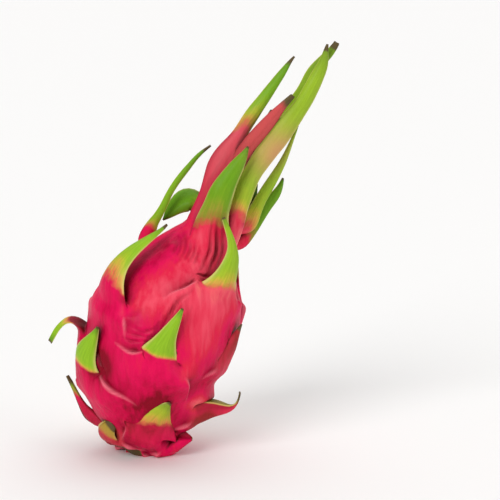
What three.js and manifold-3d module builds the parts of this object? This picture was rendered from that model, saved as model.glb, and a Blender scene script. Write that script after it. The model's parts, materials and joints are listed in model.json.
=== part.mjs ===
// A whole dragon fruit, standing on its stem end. Millimetres, +Z up. The origin lies in the small
// flat spot that it stands on. The front of the fruit faces -Y, and +X is to its right.
//
// The fruit grew as one piece, so it is one solid: a leaning, pear-shaped body, and the leafy
// bracts that grow out of its rind. Each bract is a tapering, slightly cupped blade that bends
// along a curve of its own, with its root sunk in the body.
import * as THREE from "three";
import { mergeVertices } from "three/addons/utils/BufferGeometryUtils.js";
import Module from "manifold-3d";

// ---- Driving dimensions ----------------------------------------------------------------------
const BODY_SIDES = 36; // facets around the body
const BODY_ROWS = 24; // rings of facets from the stem end to the crown
const TOP_RISE = 2; // how far the middle of the body's top stands above its last ring
const BLADE_SIDES = 8; // facets around a bract
const BLADE_STEP = 9; // length of a bract between two of its rings
const ROOT_DEPTH = 7; // how far a bract's root is sunk in the body
const TIP_WIDTH = 1.2; // width that a bract tapers to, unless it has a blunt tip
const THICKNESS = 0.2; // thickness of a bract's middle, as a share of its width
const THICKEST = 5; // the most and the least that its middle is thick
const THINNEST = 1.5;
const THINNING = 0.4; // share of its thickness that a bract loses from its root to its tip
const CUP = 0.11; // how far a bract's margins bend in, as a share of its width

// The body: height of each ring, how far its centre leans to the right, and its radius.
const BODY_RINGS = [
  { height: -3.5, lean: 3.5, radius: 7 },
  { height: 0, lean: 3.5, radius: 14 },
  { height: 8.5, lean: -0.5, radius: 20.5 },
  { height: 22, lean: -1.5, radius: 27.5 },
  { height: 38, lean: 1.5, radius: 35.5 },
  { height: 54, lean: 5, radius: 41 },
  { height: 70, lean: 9.5, radius: 42.5 },
  { height: 86, lean: 11.5, radius: 39 },
  { height: 101, lean: 14.5, radius: 33 },
  { height: 114, lean: 23, radius: 25 },
  { height: 123, lean: 33, radius: 19.5 },
  { height: 130, lean: 39, radius: 12 },
];

// The bracts, from the foot to the crown. A path starts on the body's surface and ends at the
// tip, and width is the bract's width at each point but the tip. A bract with a blunt tip gives
// its width there too. The outer face of a bract looks away from the body, unless facing gives
// the way that it looks.
const BRACTS = {
  foot_front: {
    path: [[3, -23, 15], [5, -28.5, 22.5], [9.5, -32, 29], [15, -33.5, 35]],
    width: [28, 23, 13],
  },
  foot_front_low: { path: [[-8, -10, 4.5], [-12, -14, 6], [-16.5, -16, 7.5]], width: [12, 9] },
  foot_left: {
    path: [[-20.5, -12, 9], [-22.5, -17.5, 13], [-21.5, -21.5, 16.5], [-16, -23.5, 19.5]],
    width: [20, 15, 9],
  },
  foot_left_thin: {
    path: [[-25, 2, 11], [-33, 0, 21], [-38.5, 0, 30.5], [-44, 0, 41.5]],
    width: [18, 8, 4],
  },
  foot_right: {
    path: [[11, -13, 9.5], [18, -14.5, 10.5], [26, -14, 10.5]],
    width: [14, 9],
    facing: [0.2, -1, 0.1],
  },
  foot_back: { path: [[-12, 12, 6], [-17, 19, 4], [-20, 26, 3]], width: [20, 12] },
  foot_right_hook: {
    path: [
      [27, -8, 26], [34, -11, 28], [40, -12, 28.5], [45, -12, 27], [48.5, -12, 27],
      [51, -11.5, 30.5], [51, -11, 36.5],
    ],
    width: [18, 15, 9.5, 4.5, 2.8, 2.2],
    facing: [0.1, -0.2, -0.97],
  },
  foot_back_right: {
    path: [[14.5, 19, 16], [20, 26, 22], [24, 31, 30], [26, 33, 38]],
    width: [24, 16, 9],
  },
  foot_back_left: {
    path: [[-11.5, 21, 14], [-15, 29, 19], [-17, 34, 26], [-18, 37, 33]],
    width: [24, 15, 8],
  },
  low_back: { path: [[4, 31, 30], [6, 39, 35.5], [9, 45, 42.5], [12, 48, 50]], width: [26, 16, 9] },
  low_back_left: {
    path: [[-25.5, 22, 36], [-31, 27, 43], [-35, 31, 50], [-37, 32, 58]],
    width: [26, 16, 9],
  },
  middle_front: {
    path: [[7, -40, 57], [10.5, -44, 65], [16, -47, 76.5], [22, -46, 89]],
    width: [26, 18, 8.5],
  },
  middle_left: {
    path: [[-32.5, -18, 47], [-33.5, -22.5, 56], [-30, -28, 66], [-24, -31.5, 76]],
    width: [28, 20, 10.5],
    facing: [-0.8, -0.6, 0.1],
  },
  middle_left_curl: {
    path: [[-33, 3, 67], [-39, 1, 72.5], [-44.5, -1, 74], [-48, -3, 68.5], [-52, -4, 61.5]],
    width: [24, 12, 5.5, 5],
    tip: 4.5,
  },
  middle_right: {
    path: [[43, -17, 56], [48, -18.5, 65], [52.5, -16, 75]],
    width: [18, 8],
    facing: [0.6, -0.8, 0],
  },
  middle_back_right: {
    path: [[32.5, 25, 46], [38, 30, 54], [41, 34, 64], [42, 36, 73]],
    width: [28, 17, 9],
  },
  middle_back: { path: [[-2, 40, 54], [-2, 46, 62], [1, 49, 72], [6, 50, 81]], width: [28, 18, 10] },
  shoulder_left: {
    path: [
      [-19, -25, 88.5], [-18.5, -27, 97.5], [-14.5, -28, 108], [-6, -25, 116], [3, -20, 122.5],
      [12.5, -16, 129],
    ],
    width: [30, 24, 15, 10, 7],
  },
  shoulder_right: {
    path: [[40, -27, 91], [44.5, -30, 100], [48, -30, 109], [49, -27, 119], [43, -22, 134]],
    width: [28, 19, 10, 6],
  },
  shoulder_back_right: {
    path: [[43.5, 22.5, 84], [46.5, 28, 93], [47, 32, 103], [45, 34, 113]],
    width: [26, 15, 9],
  },
  shoulder_back: {
    path: [[15.5, 36, 92], [17, 41.5, 101], [21, 43, 112], [27, 42, 123]],
    width: [28, 18, 11],
  },
  shoulder_back_left: {
    path: [[-18, 22, 84], [-20, 27, 91], [-16, 31, 100], [-9, 32, 108]],
    width: [26, 16, 9],
  },
  neck_left_thin: {
    path: [[-2, 8, 110], [2, 7, 121], [6.5, 6, 129.5], [11.5, 5, 141], [21.5, 4, 156], [35.5, 2, 168.5]],
    width: [16, 9, 6, 5, 4.5],
    facing: [-0.3, -1, 0],
  },
  neck_right_dark: {
    path: [[48, 8, 110], [55.5, 11, 119], [63.5, 12, 130.5], [70.5, 12, 139.5], [74.5, 11, 150]],
    width: [14, 9, 8, 6.5],
    facing: [0.5, -1, 0],
  },
  neck_back: { path: [[29, 25, 110], [32, 29, 120], [37, 30, 134], [44, 29, 148]], width: [22, 14, 9] },
  crown_left_fold: {
    path: [[31, 10, 132], [26.5, 13, 137], [19.5, 14, 135.5], [14, 13, 131.5], [9.3, 12, 126.8]],
    width: [13, 15, 14, 8],
    facing: [0.2, -1, 0],
  },
  crown_left_long: {
    path: [
      [27, -13, 124], [33.5, -12, 141], [40.5, -11, 158], [47, -10, 168.5], [56, -9, 183],
      [66.5, -8, 197.5], [81, -7, 216.5],
    ],
    width: [15, 10, 14, 10.5, 8.5, 7],
    facing: [0, -1, 0],
  },
  crown_front: {
    path: [[36, -18, 121], [38, -22, 133], [42, -23, 145], [49, -22, 158.5], [55.5, -20, 171.5]],
    width: [22, 16, 13, 9],
    facing: [0, -1, 0],
  },
  crown_middle_red: {
    path: [
      [43.5, -2, 127], [47, -7, 148], [54, -12, 166.5], [62.5, -13.5, 177], [71, -12.5, 186.5],
      [80, -11, 196.5],
    ],
    width: [10, 9, 10, 9.5, 6.5],
    facing: [0.1, -1, 0],
    tip: 3,
  },
  crown_right_long: {
    path: [
      [49, -11, 125], [52.5, -13, 138.5], [58.5, -12.5, 153], [65, -12, 165], [71.8, -12, 174.5],
      [82, -11.5, 187.5], [90.5, -11, 201], [95, -10, 211.5], [98, -9, 223.5],
    ],
    width: [16, 11, 11, 12.5, 13, 9, 9, 6],
    facing: [0.1, -1, 0],
  },
  crown_right_hook: {
    path: [
      [46, 2, 127], [60, 2, 160], [74, 0, 183], [83.5, -2, 197.5], [91.5, -3, 211], [99, -4, 217.5],
      [102.5, -5, 224],
    ],
    width: [10, 8, 7, 6, 6, 5.5],
    facing: [0, -1, 0],
    tip: 3.4,
  },
  crown_right_light: {
    path: [[52, 2, 119], [59.5, 3, 132], [67, 3, 145.5], [73, 3, 156], [78, 3, 167], [82, 2, 180]],
    width: [15, 9, 7, 5, 3.6],
    facing: [0.3, -1, 0],
  },
  crown_back_right: { path: [[48, 11, 124], [53, 11, 134], [58, 9, 146]], width: [16, 11] },
  crown_back: {
    path: [[40, 15, 124], [45, 17, 140], [55, 16, 160], [68, 12, 186]],
    width: [18, 13, 10],
  },
  crown_back_left: {
    path: [[30, 15, 123], [33, 19, 138], [38, 19, 152], [45, 17, 168]],
    width: [18, 13, 9],
  },
};

// ---- Helpers ---------------------------------------------------------------------------------
const wasm = await Module();
wasm.setup();

// A closed geometry as a solid that can be joined and cut.
function solidOf(geometry) {
  const bare = geometry.clone();
  bare.deleteAttribute("normal");
  bare.deleteAttribute("uv");
  const merged = mergeVertices(bare, 1e-4);
  const vertProperties = new Float32Array(merged.attributes.position.array);
  const triVerts = new Uint32Array(merged.index.array);
  return new wasm.Manifold(new wasm.Mesh({ numProp: 3, vertProperties, triVerts }));
}

function geometryOf(solid) {
  const { vertProperties, triVerts } = solid.getMesh();
  const geometry = new THREE.BufferGeometry();
  geometry.setAttribute("position", new THREE.BufferAttribute(vertProperties, 3));
  geometry.setIndex(new THREE.BufferAttribute(triVerts, 1));
  geometry.computeVertexNormals();
  return geometry;
}

// The value of a list at a share from 0 to 1 of the way along it, on straight lines between.
function along(list, share) {
  const place = share * (list.length - 1);
  const before = Math.min(Math.floor(place), list.length - 2);
  return THREE.MathUtils.lerp(list[before], list[before + 1], place - before);
}

// ---- Body ------------------------------------------------------------------------------------
// How far the body's middle leans to the right at a height.
function leanAt(height) {
  const above = BODY_RINGS.findIndex((ring) => ring.height > height);
  if (above < 1) return BODY_RINGS.at(above).lean;
  const [low, high] = [BODY_RINGS[above - 1], BODY_RINGS[above]];
  return THREE.MathUtils.mapLinear(height, low.height, high.height, low.lean, high.lean);
}

// A lathe of the rings' radii, stood upright and then leant to the right, ring by ring.
function bodySolid() {
  const spline = (key) =>
    new THREE.SplineCurve(BODY_RINGS.map((ring) => new THREE.Vector2(ring[key], ring.height)));
  const rows = spline("radius").getPoints(BODY_ROWS);
  const leans = spline("lean").getPoints(BODY_ROWS);
  const foot = new THREE.Vector2(0, rows[0].y);
  const top = new THREE.Vector2(0, rows.at(-1).y + TOP_RISE);
  const body = new THREE.LatheGeometry([foot, ...rows, top], BODY_SIDES).rotateX(Math.PI / 2);
  const place = body.attributes.position;
  for (let i = 0; i < place.count; i++) {
    const row = rows.findIndex((point) => Math.abs(point.y - place.getZ(i)) < 1e-4);
    place.setX(i, place.getX(i) + leans.at(row).x);
  }
  return solidOf(body);
}

// ---- Bracts ----------------------------------------------------------------------------------
// A cylinder whose rings are set along the bract's path. Its outer face looks away from the body,
// or the way that facing gives, and from there the rings turn with the path and never about it.
function bractSolid({ path, width, facing, tip = TIP_WIDTH }) {
  const points = path.map((point) => new THREE.Vector3(...point));
  const outwards = new THREE.Vector3(points[0].x - leanAt(points[0].z), points[0].y, 0).normalize();
  const root = points[0].clone().addScaledVector(outwards, -ROOT_DEPTH);
  const curve = new THREE.CatmullRomCurve3([root, ...points], false, "centripetal");
  const rows = Math.max(4, Math.round(curve.getLength() / BLADE_STEP));
  const frames = curve.computeFrenetFrames(rows);
  const looks = facing ? new THREE.Vector3(...facing) : outwards;
  const level = new THREE.Vector3(0, 0, 1).cross(looks);
  const set = Math.ceil(rows / 4);
  const outer = level.cross(frames.tangents[set]);
  const turn = Math.atan2(outer.dot(frames.binormals[set]), outer.dot(frames.normals[set]));
  const widths = [width[0], ...width, tip];

  const blade = new THREE.CylinderGeometry(1, 1, 1, BLADE_SIDES, rows);
  const place = blade.attributes.position;
  for (let i = 0; i < place.count; i++) {
    const share = THREE.MathUtils.clamp(place.getY(i) + 0.5, 0, 1);
    const row = Math.round(share * rows);
    const wide = along(widths, curve.getUtoTmapping(share));
    const thick = Math.max(THINNEST, Math.min(THICKNESS * wide, THICKEST) * (1 - THINNING * share));
    const face = frames.normals[row]
      .clone()
      .multiplyScalar(Math.cos(turn))
      .addScaledVector(frames.binormals[row], Math.sin(turn));
    const side = new THREE.Vector3().crossVectors(frames.tangents[row], face);
    const across = place.getX(i);
    const point = curve
      .getPointAt(share)
      .addScaledVector(side, (across * wide) / 2)
      .addScaledVector(face, (place.getZ(i) * thick) / 2 - CUP * across * across * wide);
    place.setXYZ(i, ...point);
  }
  return solidOf(blade);
}

// ---- The fruit -------------------------------------------------------------------------------
// Everything that would reach below the surface that the fruit stands on is cut off flat. A pocket
// that the roots of the crown's bracts close off between them has a skin of its own, with a
// negative volume: it is left out, so the fruit is solid there.
const below = new THREE.BoxGeometry(300, 300, 40).translate(0, 0, -20);
const fruitSolid = Object.values(BRACTS)
  .reduce((fruit, bract) => fruit.add(bractSolid(bract)), bodySolid())
  .subtract(solidOf(below))
  .decompose()
  .find((skin) => skin.volume() > 0);

const rind = new THREE.MeshStandardMaterial({ color: 0xd81e5b, roughness: 0.45, metalness: 0 });
const fruit = new THREE.Mesh(geometryOf(fruitSolid), rind);
fruit.name = "dragon_fruit";

const part = new THREE.Group();
part.add(fruit);
export default part;
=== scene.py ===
# %% [markdown]
# # A whole dragon fruit
# A dragon fruit is a berry with a leathery skin. It grew as one piece: the leafy bracts that stand
# off it are part of its rind, so the whole fruit is one continuous skin here too. The lesson goes
# from the frame and the camera to the body, the bracts, the small folds, and then the colours.

# %% Load the frame
import json
import math

import bmesh
import bpy
import numpy as np
from mathutils import Matrix, Vector, kdtree, noise
from mathutils.bvhtree import BVHTree

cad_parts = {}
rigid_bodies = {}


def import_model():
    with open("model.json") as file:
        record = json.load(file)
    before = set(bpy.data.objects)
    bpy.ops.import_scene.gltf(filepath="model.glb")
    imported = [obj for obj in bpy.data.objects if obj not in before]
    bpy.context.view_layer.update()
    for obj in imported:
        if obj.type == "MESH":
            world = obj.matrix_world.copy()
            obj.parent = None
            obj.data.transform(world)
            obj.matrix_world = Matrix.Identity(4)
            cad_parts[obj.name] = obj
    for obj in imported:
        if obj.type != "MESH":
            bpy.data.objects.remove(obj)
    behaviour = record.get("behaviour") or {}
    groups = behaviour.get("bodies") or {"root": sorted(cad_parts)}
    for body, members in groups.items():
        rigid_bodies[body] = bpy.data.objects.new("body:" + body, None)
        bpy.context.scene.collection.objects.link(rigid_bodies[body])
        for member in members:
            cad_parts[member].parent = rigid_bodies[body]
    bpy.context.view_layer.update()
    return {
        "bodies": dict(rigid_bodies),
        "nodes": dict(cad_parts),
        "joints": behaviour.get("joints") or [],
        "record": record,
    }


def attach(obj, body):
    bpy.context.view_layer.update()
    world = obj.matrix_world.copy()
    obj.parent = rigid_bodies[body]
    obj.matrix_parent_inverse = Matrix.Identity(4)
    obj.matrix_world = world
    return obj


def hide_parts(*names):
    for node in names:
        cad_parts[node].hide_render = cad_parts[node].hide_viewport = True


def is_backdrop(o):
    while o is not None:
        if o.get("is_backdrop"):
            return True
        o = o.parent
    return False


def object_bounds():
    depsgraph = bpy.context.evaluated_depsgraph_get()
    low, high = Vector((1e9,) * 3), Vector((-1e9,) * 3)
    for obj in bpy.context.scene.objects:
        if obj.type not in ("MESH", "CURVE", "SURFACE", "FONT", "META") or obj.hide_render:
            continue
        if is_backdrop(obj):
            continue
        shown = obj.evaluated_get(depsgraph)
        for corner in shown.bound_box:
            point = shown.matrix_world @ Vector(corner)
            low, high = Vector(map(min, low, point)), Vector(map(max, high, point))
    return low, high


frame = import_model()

MM = 0.001  # every size below is in millimetres, and Blender works in metres

# %% [markdown]
# ## Camera
# The camera stands in front of the fruit, a little above it, with a long lens, so that the long
# crown isn't stretched. It aims at a point half way up the fruit. An empty parent or a Track To
# constraint could aim it too, but a direction turned into a rotation leaves nothing to follow.

# %% Camera
CAMERA_PLACE = Vector((56.76, -935.57, 276.88)) * MM
CAMERA_AIM = Vector((56.76, 0, 111.91)) * MM
CAMERA_LENS, SENSOR = 126.67, 36  # mm

turn = (CAMERA_AIM - CAMERA_PLACE).to_track_quat("-Z", "Y").to_euler()
bpy.ops.object.camera_add(location=CAMERA_PLACE, rotation=turn)
camera = bpy.context.object
camera.data.lens = CAMERA_LENS
camera.data.sensor_width = SENSOR
bpy.context.scene.camera = camera
print("camera:", [round(v, 3) for v in camera.location], "lens", camera.data.lens)

# %% [markdown]
# ## Floor and light
# A pale floor and soft, even light show the colours of a fruit best. A big soft key from the
# upper left models the folds, a weaker light from the right keeps the far side from going black,
# and a very wide one from above brightens the floor. They are far away, so that they are even
# all over the floor, and a white world fills in the rest. Colours are written as the hex values
# that a paint program shows, and turned to the linear light that the renderer mixes.

# %% Floor and light
FLOOR_SIZE = 30  # m
LIGHTS = {  # the way to each one from the fruit, its strength, and how wide it looks, in degrees
    "key": ((-0.45, -0.75, 0.5), 1.75, 32),
    "side": ((0.9, -0.5, 0.15), 0.8, 30),
    "top": ((0.1, 0.35, 0.9), 1.5, 80),
}
FILL = 0.3  # strength of the white world


def colour(hex_value):
    """A hex colour such as #D81E5B as linear red, green, blue and alpha."""
    parts = [int(hex_value[i : i + 2], 16) / 255 for i in (1, 3, 5)]
    return (*[p / 12.92 if p <= 0.04045 else ((p + 0.055) / 1.055) ** 2.4 for p in parts], 1)


def deselect_everything():
    if bpy.context.object and bpy.context.object.mode == "EDIT":
        bpy.ops.object.mode_set(mode="OBJECT")
    bpy.ops.object.select_all(action="DESELECT")


deselect_everything()
bpy.ops.mesh.primitive_plane_add(size=FLOOR_SIZE, location=(0, 0, 0))
floor = bpy.context.object
floor.name = "floor"
floor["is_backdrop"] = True

studio_card = bpy.data.materials.new("white studio card")
studio_card.use_nodes = True
card = studio_card.node_tree.nodes["Principled BSDF"].inputs
card["Base Color"].default_value = colour("#F7F6F5")
card["Roughness"].default_value = 0.9
card["Specular IOR Level"].default_value = 0.1
floor.data.materials.append(studio_card)

for name, (towards, strength, softness) in LIGHTS.items():
    turn = Vector(towards).to_track_quat("Z", "Y").to_euler()
    bpy.ops.object.light_add(type="SUN", rotation=turn)
    light = bpy.context.object
    light.name = name
    light.data.energy = strength
    light.data.angle = math.radians(softness)

world = bpy.data.worlds.new("white studio")
bpy.context.scene.world = world
world.use_nodes = True
world.node_tree.nodes["Background"].inputs["Color"].default_value = colour("#FFFFFF")
world.node_tree.nodes["Background"].inputs["Strength"].default_value = FILL
bpy.context.scene.view_settings.view_transform = "Standard"
print("floor and", len(LIGHTS), "lights")

# %% [markdown]
# ## The body's outline
# The fruit stands on its stem end and leans to the right towards its crown. It is given as rings,
# each by its left end, its right end and its half depth. A ring's left end is higher than its
# right end, because the rings stand square to the leaning fruit, and so do the bracts' roots.
# A curve through the rings gives as many as the mesh needs, at even steps along the skin.

# %% The body's outline
# left end x and z, right end x and z, and half the depth
FLAT_RINGS = [(3.5, 0, 3.5, 0, 0), (-1, 0, 6, 0, 3.5), (-4.5, 0, 9.5, 0, 7.5), (-7, 0, 12, 0, 10)]
SIDE_RINGS = [
    (-9.5, 0.8, 14.5, 0.8, 12.3),
    (-20.5, 10, 18.5, 7, 19.5),
    (-31, 27, 23, 17, 27.5),
    (-35.5, 46, 31.5, 30, 35.5),
    (-34, 65, 40, 43, 40.5),
    (-29, 82.5, 47.5, 57.5, 42),
    (-20.5, 98.5, 52, 73.5, 39),
    (-7, 110.5, 50, 90, 33.5),
    (8, 120, 48, 104, 26),
    (21, 127, 49, 115.5, 20),
    (29, 133, 50, 124.5, 11.5),
]
TOP_RINGS = [  # the flower's old hollow
    (33, 133.5, 47, 127, 7.5),
    (36.5, 131.5, 43, 128.5, 3.5),
    (39.5, 129, 39.5, 129, 0),
]
SIDE_STEPS = 29  # rings of points on the body's side
COLUMNS = 48  # columns of faces around it
CURVE_STEPS = 24  # short straight steps that stand for the curve between two given points
NO_GAP = 1e-6  # two given points at one place count as this far apart


def smooth_line(points):
    """A curve through the points, as its distances from the start and the places there. The
    first three numbers of a point are its place, and any more are carried along with it."""
    points = [Vector(p) for p in points]
    guides = [points[0] * 2 - points[1], *points, points[-1] * 2 - points[-2]]
    fine = []
    for before, start, end, after in zip(guides, guides[1:], guides[2:], guides[3:]):
        pairs = ((before, start), (start, end), (end, after))
        g0, g1, g2 = [max((b - a).xyz.length, NO_GAP) ** 0.5 for a, b in pairs]
        into = (start - before) / g0 - (end - before) / (g0 + g1) + (end - start) / g1
        out = (end - start) / g1 - (after - start) / (g1 + g2) + (after - end) / g2
        into, out = into * g1, out * g1
        for step in range(CURVE_STEPS):
            t = step / CURVE_STEPS
            bend = (end - start) * 3 - into * 2 - out
            twist = (start - end) * 2 + into + out
            fine.append(start + into * t + bend * t**2 + twist * t**3)
    fine.append(points[-1])
    steps = [(b - a).xyz.length for a, b in zip(fine, fine[1:])]
    return np.cumsum([0, *steps]), np.array([list(p) for p in fine])


def on_line(line, distance):
    """The place on a smooth line at a distance from its start."""
    distances, places = line
    return np.array([np.interp(distance, distances, row) for row in places.T])


def ring(left_x, left_z, right_x, right_z, depth):
    """A ring as its middle, its half depth, and the way from its middle to its right end."""
    return ((left_x + right_x) / 2, depth, (left_z + right_z) / 2,
            (right_x - left_x) / 2, (right_z - left_z) / 2)


side = smooth_line([ring(*given) for given in SIDE_RINGS])
rings = np.array([
    *[ring(*given) for given in FLAT_RINGS],
    *[on_line(side, side[0][-1] * i / (SIDE_STEPS - 1)) for i in range(SIDE_STEPS)],
    *[ring(*given) for given in TOP_RINGS],
])
ROWS = len(rings) - 1  # rows of faces from the stem to the crown


def on_body(row, column):
    """The place on the body at a row and a column, counted in rings and columns."""
    x, depth, z, right, rise = [np.interp(row, range(ROWS + 1), values) for values in rings.T]
    angle = 2 * math.pi * column / COLUMNS
    across = math.cos(angle)
    return Vector((x + right * across, depth * math.sin(angle), z + rise * across))


print("rings of points:", len(rings), "highest:", round(max(rings[:, 2])), "mm")

# %% [markdown]
# ## The body
# The body could be turned with Spin from a drawn outline. A sphere is easier to shape here: its
# rings are already in order and both ends are closed, so each ring is only resized, moved to its
# place and tilted. A place on the skin is then named by its row and column.

# %% The body
deselect_everything()
bpy.ops.mesh.primitive_uv_sphere_add(segments=COLUMNS, ring_count=ROWS, radius=1)
fruit = bpy.context.object
fruit.name = "fruit"


def row_and_column(place):
    """Where a place on the unit sphere lies, counted in rings up from the foot and columns."""
    row = math.acos(max(-1, min(1, -place.z))) / math.pi * ROWS
    return row, math.atan2(place.y, place.x) / (2 * math.pi) * COLUMNS % COLUMNS


ring_points = [{} for _ in rings]  # for each ring, its points by column
cells = {}  # faces by row and column
for point in fruit.data.vertices:
    row, column = row_and_column(point.co.normalized())
    ring_points[round(row)][round(column) % COLUMNS] = point.index
for face in fruit.data.polygons:
    row, column = row_and_column(face.center.normalized())
    cells[int(row), int(column)] = face.index

LAYERS = {  # what the skin carries for its colours, and its value where no bract grows
    "turn": -9,  # 0 where a bract turns green, below on its red side
    "wither": 9,  # 0 at a bract's tip and 1 where its withered part ends
    "along": 0,  # mm from a bract's root
    "across": 0,  # -1 and 1 at a bract's margins
    "inner": 0,  # 1 on a bract's inner face
    "blade": 0,  # 1 on a bract, 0 on the body
    "warm": 0,  # how far its green leans to orange
    "lag": 0,  # how much further its outer face stays red
}


def read(data, key, width=1):
    """All the values of one kind that the skin holds, as an array with a row for each point."""
    values = np.empty(len(fruit.data.vertices) * width)
    data.foreach_get(key, values)
    return values.reshape(-1, width) if width > 1 else values


def put(name, values, kind="FLOAT", key="value"):
    """Keeps values as a new layer of the skin, one for each point."""
    fruit.data.attributes.new(name, kind, "POINT").data.foreach_set(key, values)


def fineness():
    """How fine the skin is."""
    triangles = sum(len(face.vertices) - 2 for face in fruit.data.polygons)
    return f"{len(fruit.data.vertices)} points, {triangles} triangles"


for name, value in LAYERS.items():
    put(name, [value] * len(fruit.data.vertices))
fruit.data.attributes.new("bract", "INT", "FACE")
seats = fruit.data.attributes.new("seat", "INT", "POINT")  # ring and column, as one number
for row, points in enumerate(ring_points):
    for column, number in points.items():
        seats.data[number].value = row * COLUMNS + column

bpy.ops.object.mode_set(mode="EDIT")
bpy.context.tool_settings.mesh_select_mode = (True, False, False)


def skin():
    """The fruit's mesh while it is in edit mode."""
    mesh = bmesh.from_edit_mesh(fruit.data)
    mesh.verts.ensure_lookup_table()
    mesh.faces.ensure_lookup_table()
    return mesh


def select_points(numbers):
    """Selects only the points of the mesh that have these numbers."""
    bpy.ops.mesh.select_all(action="DESELECT")
    mesh = skin()
    for number in numbers:
        mesh.verts[number].select_set(True)
    mesh.select_flush_mode()


for row, (points, (x, depth, z, right, rise)) in enumerate(zip(ring_points, rings)):
    angle = math.pi * row / ROWS
    height, radius = -math.cos(angle), math.sin(angle)
    middle = Vector((x, 0, z)) * MM
    select_points(points.values())
    if len(points) > 1:
        sizes = (math.hypot(right, rise) * MM / radius, depth * MM / radius, 1)
        bpy.ops.transform.resize(value=sizes, center_override=(0, 0, height))
    bpy.ops.transform.translate(value=middle - Vector((0, 0, height)))
    if rise:
        tilt = math.atan2(rise, right)
        bpy.ops.transform.rotate(value=tilt, orient_axis="Y", center_override=middle)
mesh = skin()
error = max(
    (mesh.verts[number].co / MM - on_body(row, column)).length
    for row, points in enumerate(ring_points)
    for column, number in points.items()
)
bpy.ops.object.mode_set(mode="OBJECT")
print(f"body: {fineness()}, off by {error:.3f} mm")
put("plain", read(fruit.data.vertices, "co", 3).ravel(), "FLOAT_VECTOR", "vector")
bpy.ops.object.mode_set(mode="EDIT")

# %% [markdown]
# ## The bracts
# Each bract is a leafy scale that tapers from a broad root to a thin tip. Its path goes from its
# root on the body to its tip, and each point but the tip also says how wide the bract is there.
# Green is how many millimetres from the root it turns green. What is left out has a usual value:
# - soft is how gradual that change is, in mm, and lag is how much later its outer face turns
# - dry is how much of its tip has withered, in mm, and warm is how far its green leans to orange
# - looks is the way that its outer face turns, if that isn't straight out, and tip is the width
#   of a blunt tip
# - tall is how many rows of faces its root takes up, and thick is its thickness as a share of
#   its width
# - swell is how far the whole root stands out, as a share of its width, and ends is how far its
#   left and right end are pulled down, in mm
# - folds is the slope and the length of the fold at each end of the root, and how it curls

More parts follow.
